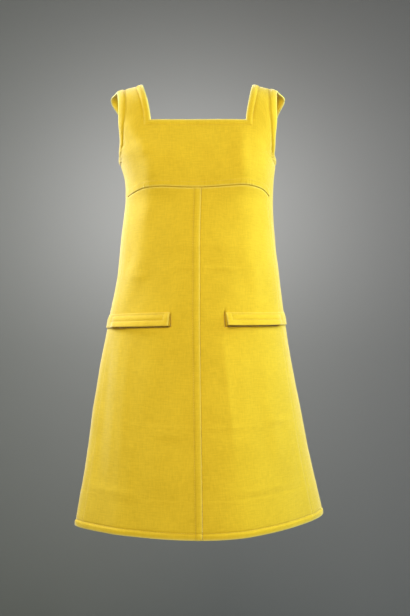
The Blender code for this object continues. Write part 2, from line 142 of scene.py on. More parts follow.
backdrop()
for light in LIGHTS:
    soft_light(*light)
sky = bpy.data.worlds.new("studio")
sky.use_nodes = True
sky.node_tree.nodes["Background"].inputs["Color"].default_value = SKY
sky.node_tree.nodes["Background"].inputs["Strength"].default_value = SKY_STRENGTH
bpy.context.scene.world = sky
bpy.context.scene.view_settings.view_transform = "Standard"
camera = put("camera", bpy.data.cameras.new("camera"))
camera.data.sensor_width = SENSOR
camera.data.lens = SENSOR * FOCAL
camera.location = CAMERA_PLACE
camera.rotation_euler = (pi / 2, 0, 0)
bpy.context.scene.camera = camera


# ---- Front bodice -------------------------------------------------------------------------------
# The yoke and both front straps are one piece of heavy wool. Its neck and armhole edges are turned
# in and topstitched, and its curved lower edge is sewn to the skirt under the bust.
SIDES = {"left": -1, "right": 1}
WALL = 0.002
SEAM_GAP = 0.0003
HEM = -0.825
UNDERARM = -0.141
NECK_FRONT = -0.0725
SHOULDER = 0.080
BUST_POINT = 0.078
BUST_LEVEL = -0.168
BUST_RISE = 0.008
BUST_SPREAD = 0.048
BUST_SIDE = 0.3
STRAP_MIDDLE = 0.132
SHOULDER_FALL = 0.25
FOLD_SPRING = 1.5
FOLD_RADIUS = (0.14, 0.22)

# The form of the worn dress: a row for each level, as half widths, depths and fullness round it.
# The first nine columns are in millimetres.
FORM_COLUMNS = (
    "station", "height", "centre", "left", "right", "front", "back",
    "left_side", "right_side", "turn", "full_left", "full_right", "full_back", "fall",
)
FORM = np.array([
    (-825, -825, 8, 236.2, 234.5, -190, 150, -77, 32, 1.30, -0.30, -0.40, 0.00, 0.0),
    (-755, -755, 7, 223.5, 219.0, -183, 145, -68, 24, 1.25, -0.25, -0.34, 0.00, 0.0),
    (-679, -679, 6, 211.8, 203.0, -175, 139, -55, 17, 1.20, -0.19, -0.26, 0.00, 0.0),
    (-602, -602, 5, 200.8, 188.3, -166, 132, -42, 10, 1.15, -0.12, -0.17, 0.02, 0.0),
    (-525, -525, 4, 189.5, 173.8, -156, 126, -30, 5, 1.10, -0.05, -0.08, 0.05, 0.0),
    (-457, -457, 3, 176.0, 163.5, -147, 119, -20, 1, 1.05, 0.03, 0.00, 0.08, 0.0),
    (-370, -370, 3, 159.0, 152.2, -135, 109, -10, -2, 1.00, 0.11, 0.09, 0.12, 0.0),
    (-293, -293, 3, 152.0, 143.0, -125, 101, -5, -3, 1.00, 0.15, 0.15, 0.15, 0.0),
    (-213, -213, 5, 145.5, 137.2, -115, 98, -3, -3, 1.00, 0.22, 0.22, 0.20, 0.0),
    (-180, -180, 5, 147.5, 138.5, -115, 100, -2, -2, 1.00, 0.29, 0.29, 0.25, 0.0),
    (-160, -160, 5, 152.8, 140.8, -114, 102, -1, -1, 1.00, 0.34, 0.34, 0.28, 0.0),
    (-141, -141, 4, 158.0, 144.0, -110, 103, 0, 0, 1.00, 0.42, 0.42, 0.32, 0.0),
    (-115, -117, 3, 163.0, 154.5, -103, 101, 2, 2, 1.00, 0.50, 0.50, 0.38, 0.0),
    (-70, -76, 1, 174.0, 170.0, -89, 92, 6, 6, 1.00, 0.55, 0.55, 0.42, 0.0),
    (-30, -41, -1, 183.0, 179.0, -74, 80, 10, 10, 1.00, 0.55, 0.55, 0.42, 0.5),
    (10, -14.5, -2, 189.0, 185.0, -45, 65, 15, 15, 1.00, 0.50, 0.50, 0.42, 0.9),
    (45, -3, -2, 192.0, 188.0, -12, 44, 18, 18, 1.00, 0.45, 0.45, 0.42, 1.0),
    (80, 0, -2, 193.0, 189.0, 20, 20, 20, 20, 1.00, 0.43, 0.43, 0.43, 1.0),
    (115, -3, -2, 192.0, 188.0, 44, -12, 18, 18, 1.00, 0.42, 0.42, 0.45, 1.0),
])
FORM[:, :9] /= 1000
SEAM_COLUMNS = ("station", "left", "right")
SIDE_SEAMS = np.array([
    (-0.825, -70, 63), (-0.680, -70, 63), (-0.540, -71, 66), (-0.457, -69.5, 67.5),
    (-0.370, -67.5, 69.5), (-0.293, -67, 69), (-0.216, -70, 66.5), (-0.175, -78, 75),
    (-0.141, -86, 85),
])
YOKE_COLUMNS = ("angle", "station")
YOKE_SEAM = np.array([
    (-70, -0.2165), (-60, -0.2120), (-46, -0.2058), (-30, -0.2045), (-15, -0.2063), (0, -0.2068),
    (20, -0.2038), (37, -0.2010), (46, -0.2029), (56, -0.2068), (66.5, -0.2165),
])
YOKE_TOP = YOKE_SEAM[:, 1].max()
# Where the armholes and the neck run at each level: metres from the centre line, from millimetres.
EDGE_COLUMNS = ("station", "left_front", "right_front", "left_back", "right_back",
                "left_neck", "right_neck", "left_neck_back", "right_neck_back")
EDGES = np.array([
    (-141, 157.6, 143.4, 157.6, 143.4, 87.0, 86.0, 95, 92),
    (-138, 154.5, 143.0, 156.0, 143.2, 87.0, 86.0, 95, 92),
    (-130, 151.2, 143.2, 152.5, 143.4, 87.0, 86.0, 95, 92),
    (-115, 148.2, 143.6, 149.0, 143.8, 87.0, 86.0, 95, 92),
    (-95, 147.2, 143.8, 147.8, 145.0, 87.0, 86.0, 95, 92),
    (-70, 148.0, 144.6, 150.0, 149.0, 88.0, 86.8, 95, 92),
    (-30, 149.0, 144.8, 160.0, 157.5, 95.5, 93.5, 98, 96),
    (10, 154.0, 147.5, 172.5, 168.0, 104.0, 100.0, 103, 101),
    (45, 158.0, 151.5, 173.0, 168.0, 107.5, 103.5, 107, 103),
    (80, 163.8, 157.0, 163.8, 157.0, 109.0, 105.0, 109, 105),
]) / 1000
# The large folds that the skirt hangs in, which deepen towards the hem.
FOLD_COLUMNS = ("hem_angle", "top_angle", "top", "width", "rise")
FOLDS = [dict(zip(FOLD_COLUMNS, row)) for row in (
    (-40.0, -38.0, -0.47, 0.030, 0.0030),
    (18.0, 12.0, -0.46, 0.034, 0.0032),
    (128.0, 122.0, -0.40, 0.040, 0.0080),
    (160.0, 158.0, -0.48, 0.034, 0.0050),
    (-158.0, -160.0, -0.45, 0.036, 0.0060),
    (-124.0, -120.0, -0.40, 0.042, 0.0085),
)]


def column(table, names, name, key):
    """A column of a table, read at the keys through a smooth curve."""
    at = table[:, 0]
    value = table[:, names.index(name)]
    slope = np.gradient(value, at)
    key = np.clip(key, at[0], at[-1])
    low = np.clip(np.searchsorted(at, key, side="right") - 1, 0, len(at) - 2)
    span = at[low + 1] - at[low]
    t = (key - at[low]) / span
    first = (1 + 2 * t) * (1 - t) ** 2 * value[low] + t * (1 - t) ** 2 * span * slope[low]
    second = t * t * (3 - 2 * t) * value[low + 1] + t * t * (t - 1) * span * slope[low + 1]
    return first + second


def smooth(value, low, high):
    """0 below low, 1 above high, and a smooth rise between them."""
    t = np.clip((value - low) / (high - low), 0, 1)
    return t * t * (3 - 2 * t)


def section(angle, station):
    """Points of the form without its folds, at angles in degrees and stations."""
    angle, station = np.broadcast_arrays(np.asarray(angle, float), np.asarray(station, float))
    at = {name: column(FORM, FORM_COLUMNS, name, station) for name in FORM_COLUMNS[1:]}
    turn = np.radians(angle)
    across = np.sin(turn)
    ahead = np.cos(turn)
    on_left = across < 0
    reach = np.where(on_left, at["left"], at["right"])
    side = np.where(on_left, at["left_side"], at["right_side"])
    depth = np.where(ahead > 0, at["front"], at["back"])
    full = np.where(on_left, at["full_left"], at["full_right"])
    full = np.where(ahead > 0, full, at["full_back"])
    power = np.where(on_left, at["turn"], 1.0)
    x = at["centre"] + reach * across
    share = np.abs(ahead) ** power * (1 + full * across ** 2)
    y = side + (depth - side) * share
    fall = SHOULDER_FALL * at["fall"] * (np.abs(x) - STRAP_MIDDLE)
    bust = np.exp(-((np.abs(x - at["centre"]) - BUST_POINT) / BUST_SPREAD) ** 2)
    bust = bust * np.exp(-((station - BUST_LEVEL) / BUST_SPREAD) ** 2)
    y = y - BUST_RISE * bust * smooth(ahead, 0.0, BUST_SIDE)
    return np.stack([x, y, at["height"] - fall], axis=-1)


def unit(run):
    return run / np.linalg.norm(run, axis=-1, keepdims=True)


def walk(points, way=0):
    """Metres along lines of points, from the first one of each."""
    step = np.linalg.norm(np.diff(points, axis=way), axis=-1)
    return np.insert(np.cumsum(step, axis=way), 0, 0, axis=way)


def outward(surface, angle, station):
    """Unit normals of a surface, pointing out of the dress."""
    turn, climb = 0.5, 0.002
    across = surface(angle + turn, station) - surface(angle - turn, station)
    level = np.maximum(station, HEM + climb)
    up = surface(angle, level + climb) - surface(angle, level - climb)
    return unit(np.cross(across, up))


def form(angle, station):
    """Points of the form with its folds: the outer face of every panel."""
    angle, station = np.broadcast_arrays(np.asarray(angle, float), np.asarray(station, float))
    rise = np.zeros(angle.shape)
    for fold in FOLDS:
        down = np.clip((station - fold["top"]) / (HEM - fold["top"]), 0, 1)
        middle = fold["top_angle"] + (fold["hem_angle"] - fold["top_angle"]) * down
        apart = np.radians((angle - middle + 180) % 360 - 180)
        radius = FOLD_RADIUS[0] + (FOLD_RADIUS[1] - FOLD_RADIUS[0]) * down
        crest = np.exp(-(apart * radius / fold["width"]) ** 2)
        rise = rise + fold["rise"] * down ** FOLD_SPRING * crest
    return section(angle, station) + outward(section, angle, station) * rise[..., None]


def edge_angle(name, station):
    """The angle at which an open edge runs, from its distance to the centre line."""
    side = name.split("_")[0]
    reach = column(FORM, FORM_COLUMNS, side, station)
    centre = column(FORM, FORM_COLUMNS, "centre", station)
    away = column(EDGES, EDGE_COLUMNS, name, station) - SIDES[side] * centre
    angle = np.degrees(np.arcsin(np.clip(away / reach, -1, 1)))
    return SIDES[side] * (180 - angle if name.endswith("_back") else angle)


def seam_angle(side, station):
    return column(SIDE_SEAMS, SEAM_COLUMNS, side, station)


def yoke_station(angle):
    return column(YOKE_SEAM, YOKE_COLUMNS, "station", angle)


def degree(angle, station):
    """Metres of cloth in one degree round the form."""
    return np.linalg.norm(section(angle + 0.5, station) - section(angle - 0.5, station), axis=-1)


def columns(left, right, station, by_left, by_right, count):
    """Angles across part of a panel: close ones beside both ends, and even ones between them.
    by_left and by_right are metres from the ends."""
    left, right, station = (np.reshape(value, (-1, 1)) for value in (left, right, station))
    first = left + np.array(by_left)[None, :] / degree(left, station)
    last = right - np.array(by_right)[None, ::-1] / degree(right, station)
    share = np.linspace(0, 1, count + 1)[None, 1:-1]
    middle = first[:, -1:] + (last[:, :1] - first[:, -1:]) * share
    return np.hstack([first, middle, last])


def across(stops, station, parts):
    """Angles of a whole grid's columns, from stop to stop, with the places and count of each part."""
    found = [columns(*stops[number:number + 2], station, *part) for number, part in enumerate(parts)]
    return np.hstack([found[0], *(part[:, 1:] for part in found[1:])])


def even(marks, step):
    """Levels at every mark, with further ones where two marks lie more than a step apart."""
    marks = sorted(marks)
    rows = [np.linspace(low, high, 1 + int(np.ceil((high - low) / step)), endpoint=False)
            if high - low > step else [low] for low, high in zip(marks, marks[1:])]
    return np.append(np.concatenate(rows), marks[-1])


CREASE_COLUMNS = ("x", "z", "to_x", "to_z", "width", "rise")


def crease_rows(*rows):
    """Creases by name in metres, from rows in millimetres: where one runs from and to, its half
    width, and how far it stands out, or in when below 0."""
    return [{name: value / 1000 for name, value in zip(CREASE_COLUMNS, row)} for row in rows]


# Creases that are pressed or worn into the cloth, soft at both ends.
FRONT_CREASES = crease_rows(
    (-168, 5, -165, -125, 28, 4),
    (163, 5, 160, -115, 28, 3),
    (-142, -64, -87, -150, 13, 3),
    (-100, -112, -84, -200, 13, 2),
    (-85, -155, -93, -290, 14, 2),
    (-89, -200, -114, -400, 20, 2.8),
    (-104, -330, -142, -440, 15, 1.8),
    (78, -80, 81, -220, 15, 2.2),
    (84, -190, 98, -430, 19, 1.2),
    (-85, -132, 70, -130, 22, 1.6),
    (-62, -105, -60, -200, 15, -1),
    (52, -105, 55, -200, 15, -1),
    (-118, -118, -95, -150, 8, 0.6),
    (120, -120, 98, -152, 8, 0.6),
    (-134, -374, -80, -362, 5.5, 0.7),
    (-112, -306, -136, -366, 7, -0.7),
    (-75, -313.5, 80, -312.5, 5, 0.6),
    (-75, -351.5, 100, -354.5, 3.5, 0.8),
    (60, -300, 88, -415, 12, -0.9),
    (100, -330, 108, -425, 9, 0.8),
    (-126, -445, -144, -790, 12, 1.9),
    (-163, -420, -186, -780, 13, -3.4),
    (-186, -390, -212, -700, 15, 1.6),
    (-60, -500, -75, -690, 18, -1.2),
    (-140, -450, -150, -600, 5, 0.8),
    (-148, -560, -164, -760, 6, 0.9),
    (-118, -640, -126, -790, 8, 0.8),
    (37, -430, 68, -720, 8, 1.1),
    (90, -490, 128, -720, 20, -1.3),
    (118, -560, 158, -760, 12, 1),
    (-12, -560, -40, -800, 20, 1),
    (-175, -632, 165, -636, 4, 0.6),
    (-105, -644, 4, -648, 9, 1.4),
    (112, -627, 186, -631, 6, 1),
    (-215, -748, -85, -757, 9, 1.2),
    (50, -748, 195, -745, 5, 0.9),
    (8.5, -180, 8.5, -212, 1.2, 0.8),
    (13.2, -182, 13.2, -212, 1.2, 0.7),
)
BACK_CREASES = crease_rows(
    (-100, -235, -30, -252, 6, 1.3),
    (-95, -262, -36, -275, 7, -1.2),
    (30, -246, 98, -232, 6, 1.2),
    (34, -270, 90, -262, 7, -1.1),
    (-15, -352, -90, -354, 3.5, 0.4),
    (-160, -634, 170, -634, 4, 0.4),
    (-110, -150, -70, -215, 11, 1),
    (108, -150, 70, -215, 11, 1),
    (-60, -420, -70, -600, 20, -1.4),
    (64, -430, 80, -620, 20, -1.4),
)
CREASE_FADE = 0.35
UNEVEN = ((14.0, 0.0009), (38.0, 0.0003))    # waves to a metre, and how high
CALM = (0.020, 0.055)    # metres from the zip's slider, where the cloth lies flat


def crease_rise(crease, point, fade):
    """How far one crease stands out at some points. Its ends fade over a share of its length."""
    x, z = point[..., 0] - crease["x"], point[..., 2] - crease["z"]
    run_x, run_z = crease["to_x"] - crease["x"], crease["to_z"] - crease["z"]
    length = np.hypot(run_x, run_z)
    along = (x * run_x + z * run_z) / length ** 2
    aside = (x * run_z - z * run_x) / length
    ends = smooth(along, 0.0, fade) * smooth(-along, -1.0, fade - 1)
    return crease["rise"] * ends * np.exp(-(aside / crease["width"]) ** 2)


def creases(point):
    """How far the creases and the unevenness of worn cloth stand out at some points."""
    y = point[..., 1]
    rise = np.zeros(y.shape)
    for share, rows in ((smooth(-y, -0.01, 0.02), FRONT_CREASES), (smooth(y, 0.0, 0.03), BACK_CREASES)):
        rise += share * sum(crease_rise(crease, point, CREASE_FADE) for crease in rows)
    for scale, height in UNEVEN:
        waves = [noise.noise(Vector(spot) * scale) for spot in point.reshape(-1, 3)]
        rise += height * np.reshape(waves, y.shape)
    slider = section(180.0, SLIDER_STATION)
    return rise * smooth(np.linalg.norm(point - slider, axis=-1), *CALM)


# How the cloth is worked along its edges. A turned edge is puffed up between its fold and its
# topstitching, which draws it in. A seam rolls in, over its pressed allowances. Shade is painted into
# grooves and seams, and highlights along open edges and beside seams.
PUFF = 0.0012
PUFF_SKEW = 1.35         # above 1, the crest lies nearer to the stitching
DRAW = 0.0008
DRAW_NECK = 0.2          # of the groove's depth, straight across the neck
UNDERARM_DRAW = (0.07, 0.13)    # how far down the armhole's groove deepens
STRAP_STITCH = (0.0030, -0.110, -0.050)    # metres further in along the straps, and where
STITCH_SPREAD = 0.0017
TURNED = 0.0010
ROLL = 0.0009
ROLL_SPREAD = 0.0010
SIDE_DEPTH = {"left": 0.3, "right": 0.65}    # of the side seams' rolling in
# Width of the highlight painted along an open edge.
PALE_EDGE = 0.0022
ALLOWANCE = 0.012
ALLOWANCE_RISE = 0.0002
EDGE_STITCH = 0.0125
YOKE_STITCH = 0.0100
YOKE_PUFF = 0.0012       # how far the yoke stands out over its seam
YOKE_PUFF_END = 0.015    # above the seam, where that ends
PUCKER = 0.00050         # of the small ripples that the yoke's stitching draws up
PUCKER_PITCH = 0.0105
# Distances from a seam, a fold or a line of stitches at which a panel has close rows.
BY_SEAM = (0.0, 0.0004, 0.0010, 0.0020, 0.0035, 0.0060)
BY_FOLD = (0.0, 0.0002, 0.0006, 0.0011, 0.0018, 0.0032, 0.0055, 0.0080)
BY_STITCH = (-0.0036, -0.0022, -0.0010, 0.0, 0.0010, 0.0022, 0.0036)


def within(distance, limit, soft=0.001):
    """1 nearer than a limit and 0 further than it, with a smooth fall between them."""
    return smooth(-distance, -limit - soft, -limit + soft)


def turned_edge(width):
    """Places of close rows beside a turned and topstitched edge."""
    return [*BY_FOLD, *(width + place for place in BY_STITCH)]


class Work:
    """How a panel is worked along its edges: the heights of its outer and inner face, how much highlight
    is painted along its edges and beside its seams, and how much shade is painted into its grooves and
    seams at each point."""

    def __init__(self, shape):
        self.outer = np.zeros(shape)
        self.inner = np.full(shape, -WALL)
        self.fold = np.zeros(shape)
        self.painted_shade = np.zeros(shape)

    def stitch(self, distance, width, turned=TURNED, depth=1.0):
        """Puffs up a turned edge, which is topstitched at some width from its fold, and paints shade
        into the groove of its stitches. All but turned may be grids."""
        groove = depth * np.exp(-((distance - width) / STITCH_SPREAD) ** 2)
        share = np.clip(distance / width, 0, 1)
        self.outer += PUFF * np.sin(pi * share ** PUFF_SKEW) ** 0.8 - DRAW * groove
        self.inner -= turned * within(distance, width, 0.002)
        # Painted shade in the groove of the stitches.
        self.painted_shade = np.maximum(self.painted_shade, groove)

    def seam(self, distance, depth=1.0, pale=0.40):
        """Rolls in a seam, paints shade along it, and paints a highlight on the cloth beside it."""
        distance = np.maximum(distance, 0)
        self.outer -= ROLL * depth * np.exp(-distance / ROLL_SPREAD)
        self.outer += ALLOWANCE_RISE * within(distance, ALLOWANCE)
        # Painted highlight on the cloth beside the seam.
        self.fold = np.maximum(self.fold, pale * depth * np.exp(-((distance - 0.0018) / 0.0009) ** 2))
        # Painted shade along the seam's line.
        self.painted_shade = np.maximum(self.painted_shade, 2.1 * depth ** 2 * np.exp(-distance / 0.0007))

    def end(self, distance, pale=1.0):
        """Rounds off an open edge, and paints a highlight along it."""
        distance = np.maximum(distance, 0)
        half = np.maximum(self.outer - self.inner, 1e-6) / 2
        short = np.clip(1 - distance / half, 0, 1)
        drop = half * (1 - np.sqrt(1 - short ** 2))
        self.outer -= drop
        self.inner += drop
        # Painted highlight along the open edge.
        self.fold = np.maximum(self.fold, pale * np.exp(-(distance / PALE_EDGE) ** 2))


def draw_in(points, gap):
    """Moves the border of a grid of points inwards, to leave a gap at its seams."""
    for _ in ("rows", "columns"):
        moved = points.copy()
        for edge, neighbour in ((0, 1), (-1, -2)):
            moved[edge] += unit(points[neighbour] - points[edge]) * gap
        points = moved.swapaxes(0, 1)
    return points


def add_piece(name, mesh, finish):
    """Adds a piece that moves with the dress, and states its finish."""
    mesh.materials.append(finish.material)
    thing = put(name, mesh)
    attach(thing, "dress")
    return thing


def shell(name, outer, inner, values, finish, slot, cut=None):
    """A closed shell of cloth between two grids of points, less any cells that are cut away.
    values are numbers at each point that its finish reads."""
    rows, places = outer.shape[:2]
    cells = np.ones((rows - 1, places - 1), bool)
    if cut:
        cells[cut] = False
    number = np.arange(rows * places).reshape(rows, places)
    ring = np.stack([number[:-1, :-1], number[:-1, 1:], number[1:, 1:], number[1:, :-1]], axis=-1)
    faces = [ring[cells], ring[cells][:, ::-1] + rows * places]
    wide = np.pad(cells, 1)
    beside = (wide[:-2, 1:-1], wide[1:-1, 2:], wide[2:, 1:-1], wide[1:-1, :-2])
    for corner, neighbour in enumerate(beside):
        open_side = ring[cells & ~neighbour]
        start, end = open_side[:, corner], open_side[:, (corner + 1) % 4]
        faces.append(np.stack([end, start, start + rows * places, end + rows * places], axis=-1))
    used, faces = np.unique(np.vstack(faces), return_inverse=True)
    points = np.vstack([outer.reshape(-1, 3), inner.reshape(-1, 3)])[used]
    mesh = new_mesh(name, points.tolist(), faces.reshape(-1, 4).tolist())
    mesh.shade_smooth()
    mesh.set_sharp_from_angle(angle=radians(60))
    grain = np.full((rows, places, 3), 0.5 * len(bpy.data.objects))
    grain[..., 0] = walk(outer, 1)
    grain[..., 0] -= grain[:, places // 2, :1].copy()
    grain[..., 1] = walk(outer)
    grain = np.tile(grain.reshape(-1, 3), (2, 1))[used]
    mesh.attributes.new("grain", "FLOAT_VECTOR", "POINT").data.foreach_set("vector", grain.ravel())
    for label, value in values.items():
        layer = mesh.attributes.new(label, "FLOAT", "POINT")
        layer.data.foreach_set("value", np.tile(value.ravel(), 2)[used])
    return add_piece(name, mesh, finish)


def panel(name, angle, station, work, cut=None, off=0.0, gap=SEAM_GAP / 2, order=np.s_[:]):
    """A panel of wool on the form, or some way off it, at a grid of angles and stations."""
    point = form(angle, station)
    normal = outward(form, angle, station)
    off = off + creases(point)
    sides = [draw_in(point + normal * (off + height)[..., None], gap)[order]
             for height in (work.outer, work.inner)]
    values = {"fold": work.fold[order], "painted_shade": work.painted_shade[order]}
    cloth = shell(name + "_cloth", *sides, values, wool, "wool", cut)
    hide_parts(name)
    return cloth


class Tone:
    """A value that changes over a surface. Arithmetic on it adds the nodes that work it out."""

    def __init__(self, finish, socket):
        self.finish = finish
        self.socket = socket

    def maths(self, operation, *values):
        return self.finish.node("ShaderNodeMath", {"operation": operation}, dict(enumerate(values)))

    def sine(self):
        return self.maths("SINE", self)

    def __add__(self, other):
        return self.maths("ADD", self, other)

    def __mul__(self, other):
        return self.maths("MULTIPLY", self, other)

    __radd__ = __add__
    __rmul__ = __mul__


class Finish:
    """A material, to which one method adds any shader node."""

    def __init__(self, name, sockets):
        self.material = bpy.data.materials.new(name)
        self.material.use_nodes = True
        self.tree = self.material.node_tree
        self.surface = self.tree.nodes["Principled BSDF"]
        self.feed(self.surface, sockets)

    def feed(self, node, sockets):
        for name, value in sockets.items():
            if isinstance(value, Tone):
                self.tree.links.new(value.socket, node.inputs[name])
            else:
                node.inputs[name].default_value = value

    def node(self, kind, settings=None, sockets=None, output=0):
        node = self.tree.nodes.new(kind)
        for name, value in (settings or {}).items():
            setattr(node, name, value)
        self.feed(node, sockets or {})
        return Tone(self, node.outputs[output])

    def speckle(self, place, scale, detail=2.0):
        return self.node("ShaderNodeTexNoise", {}, {"Vector": place, "Scale": scale, "Detail": detail})

    def range(self, value, low, high):
        """0 where a value is low or below, 1 where it is high or above."""
        return self.node("ShaderNodeMapRange", {}, {"Value": value, "From Min": low, "From Max": high})

    def mix(self, share, low, high):
        return self.node("ShaderNodeMix", {"data_type": "RGBA"}, {0: share, 6: low, 7: high}, 2)

    def place(self):
        return self.node("ShaderNodeTexCoord", output="Object")

    def attribute(self, name, output="Fac"):
        return self.node("ShaderNodeAttribute", {"attribute_name": name}, output=output)

    def grain(self):
        """The place on the cloth laid flat, and how far that is across and along it."""
        place = self.attribute("grain", "Vector")
        return place, *(self.node("ShaderNodeSeparateXYZ", {}, {0: place}, way) for way in (0, 1))

    def cover(self, colour, height, strength, distance):
        """Gives the surface its colour, and a bump of some height."""
        bump = self.node("ShaderNodeBump", {}, {
            "Strength": strength, "Distance": distance, "Height": height})
        self.feed(self.surface, {"Base Color": colour, "Normal": bump})


# The wool is woven plain from slightly slubbed yarn, dyed yellow, pressed and brushed a little.
# Highlights are painted along its edges and beside its seams, and shade into its grooves, seams and
# hollows.
YARN = 0.0011
WOOL_DEEP = (0.690, 0.440, 0.013, 1)
WOOL_LIGHT = (0.810, 0.530, 0.022, 1)
# Painted highlight, laid along open edges and beside seams.
WOOL_PAINTED_HIGHLIGHT = (0.950, 0.830, 0.240, 1)
# Painted shade, laid into stitch grooves, seams and sunk hollows.
WOOL_PAINTED_SHADE = (0.370, 0.210, 0.001, 1)


def wool_finish():
    finish = Finish("yellow_wool", {
        "Roughness": 0.82,
        "Sheen Weight": 0.50,
        "Sheen Roughness": 0.35,
        "Sheen Tint": (1.0, 0.96, 0.76, 1),
        "Specular IOR Level": 0.25,
    })
    grain, across, along = finish.grain()

    def slub(wide, high):
        place = finish.node("ShaderNodeCombineXYZ", {}, {0: across * wide, 1: along * high})
        return finish.speckle(place, 1.0, 3.0)

    fold = finish.attribute("fold")
    painted_shade = finish.attribute("painted_shade")
    weave = (across * (2 * pi / YARN)).sine() * (along * (2 * pi / YARN)).sine()
    rows = slub(60.0, 420.0)
    ranks = slub(420.0, 60.0)
    fuzz = finish.speckle(grain, 1800.0, 2.0)
    cloud = finish.speckle(grain, 18.0, 4.0)
    mottle = finish.speckle(grain, 150.0, 3.0)
    depth = cloud * 0.6 + mottle * 0.1 + rows * 0.8 + ranks * 0.7 + weave * 0.05
    colour = finish.mix(finish.range(depth, 0.83, 1.37), WOOL_DEEP, WOOL_LIGHT)
    # Painted highlight along open edges and beside seams.
    colour = finish.mix(fold * 0.75, colour, WOOL_PAINTED_HIGHLIGHT)
    # Painted shade in grooves, seams and the sunk hollows under and beside the flaps.
    colour = finish.mix(painted_shade * 0.20, colour, WOOL_PAINTED_SHADE)
    height = weave * 0.4 + rows * 1.4 + ranks * 1.2 + fuzz * 0.5 + mottle * 0.4
    finish.cover(colour, height, 0.35, 0.0004)
    return finish


wool = wool_finish()
SLIDER_STATION = -0.066
ARMHOLE_TURN = 0.011     # height of the round bottom of an armhole
ROWS_STRAIGHT = (-0.40, UNDERARM - 0.004)    # levels beyond which the front's rows run straight
ROWS_NEAR = 0.016        # how far from the seam under the bust they follow it
BELOW_ARM = -0.162
UNDERARM_ROWS = [-0.1605, *(UNDERARM - place for place in turned_edge(EDGE_STITCH)),
                 *(UNDERARM + place for place in (0.0001, 0.0005, 0.0012, 0.0022, 0.0037)), -0.116]
CHEST_FOOT = -0.1145
BY_EDGE = turned_edge(EDGE_STITCH)
BY_MIDDLE = (0.0, 0.004)


def arm_angle(name, station):
    """The angle of an armhole's edge, which runs round into the side seam at the underarm."""
    side = name.split("_")[0]
    straight = edge_angle(name, np.maximum(station, UNDERARM + ARMHOLE_TURN))
    short = np.clip(1 - (station - UNDERARM) / ARMHOLE_TURN, 0, 1)
    return straight + (seam_angle(side, UNDERARM) - straight) * (1 - np.sqrt(1 - short ** 2))


def armhole(side):
    """Angles and stations along an armhole's edge, down the front and up the back."""
    turn = UNDERARM + ARMHOLE_TURN * np.linspace(1, 0, 24) ** 2
    level = np.concatenate([np.linspace(SHOULDER, turn[0], 70)[:-1], turn])
    angle = np.concatenate([arm_angle(side + "_front", level),
                            arm_angle(side + "_back", level[::-1])[1:]])
    return angle, np.concatenate([level, level[::-1][1:]])


ARMHOLES = [form(*armhole(side)) for side in SIDES]


def armhole_distance(point):
    """Distances of a grid of points to the nearer armhole's edge."""
    best = np.full(point.shape[:-1], np.inf)
    for line in ARMHOLES:
        for start, end in zip(line, line[1:]):
            run = end - start
            along = np.clip(((point - start) @ run) / (run @ run), 0, 1)
            gap = np.linalg.norm(point - start - along[..., None] * run, axis=-1)
            best = np.minimum(best, gap)
    return best


def seam_distance(angle, station):
    """Distances to the side seam, measured round the form."""
    seam = np.where(angle < 0, *(seam_angle(side, station) for side in SIDES))
    aside = np.abs(np.abs(seam) - np.abs(angle)) * degree(angle, station)
    return np.hypot(aside, np.maximum(station - UNDERARM, 0))


def neck_distance(angle, station, level, back=False):
    """Distances to the edge of the square neck, measured so that its corners stay sharp."""
    name = "_neck_back" if back else "_neck"
    side = np.where(angle < 0, *(edge_angle(side + name, station) for side in SIDES))
    aside = (np.abs(angle) - np.abs(side)) * degree(angle, station)
    return np.maximum(-aside if back else aside, level - station)


def upper_rows(marks, step, neck):
    """Levels of rows through some marks below the armholes and up to the shoulder, and how many of
    them lie below the edge of the neck."""
    below = np.concatenate([even([*marks, BELOW_ARM], step), even(UNDERARM_ROWS, 0.0016),
                            even([CHEST_FOOT, *(neck - place for place in BY_EDGE)], 0.003)])
    strap = even([neck + 0.003, *(SHOULDER - place for place in BY_SEAM)], 0.004)
    return np.concatenate([below, strap]), len(below)


def front_station(level, angle):
    """Stations of the front's rows, which follow the seam under the bust and straighten out away
    from it. level is a row's station where that seam is highest."""
    near = smooth(level, ROWS_STRAIGHT[0], YOKE_TOP - ROWS_NEAR)
    near = near * smooth(-level, -ROWS_STRAIGHT[1], -YOKE_TOP - ROWS_NEAR)
    return level + (yoke_station(angle) - YOKE_TOP) * near


def side_corner(side, level):
    """Angles where the front's rows reach the side seam."""
    station = np.array(level, float)
    for _ in range(12):
        angle = seam_angle(side, station)
        station = front_station(level, angle)
    return angle


RIDGE_ANGLE = 2.7        # of the two small ridges that the lap's allowances push up
BY_RIDGE = (0.0, 0.0006, 0.0013, 0.0020, 0.0027, 0.0034, 0.0042, 0.0055)


